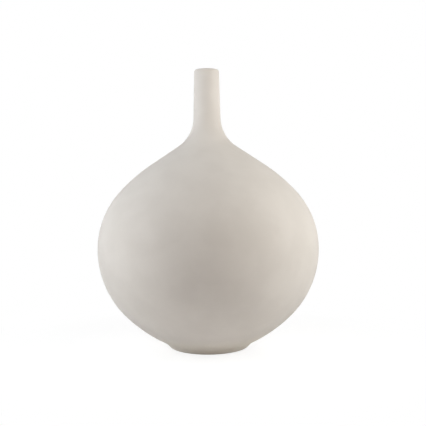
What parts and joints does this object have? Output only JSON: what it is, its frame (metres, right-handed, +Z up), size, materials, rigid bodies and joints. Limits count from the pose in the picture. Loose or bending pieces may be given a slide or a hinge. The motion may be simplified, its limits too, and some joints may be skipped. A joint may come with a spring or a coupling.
{
  "type": "ceramic bottle vase",
  "caption": "Bottle vase with a round belly on a low foot ring, a shoulder that sweeps into a slim straight neck, and a rounded lip, in matt off-white glaze.",
  "frame": {"origin": "centre of the foot ring on the table", "axes": "+Z up along the vase's axis, out of the mouth; X and Y are any two level directions, because the vase is round"},
  "size_m": [0.194, 0.194, 0.245],
  "materials": {
    "stoneware": "bare fired clay, fine grain",
    "slip": "dried and fired slip",
    "matt_glaze": "smooth satin-matt off-white glaze",
    "lining_glaze": "glossy lining glaze"
  },
  "bodies": {
    "root": {"foot_ring": "stoneware", "foot_slip_joint": "slip", "lower_bowl": "stoneware", "belly_slip_joint": "slip", "upper_bowl": "stoneware", "neck_slip_joint": "slip", "neck": "stoneware", "outer_glaze": "matt_glaze", "inner_glaze": "lining_glaze", "foot_well_glaze": "matt_glaze"}
  },
  "joints": []
}
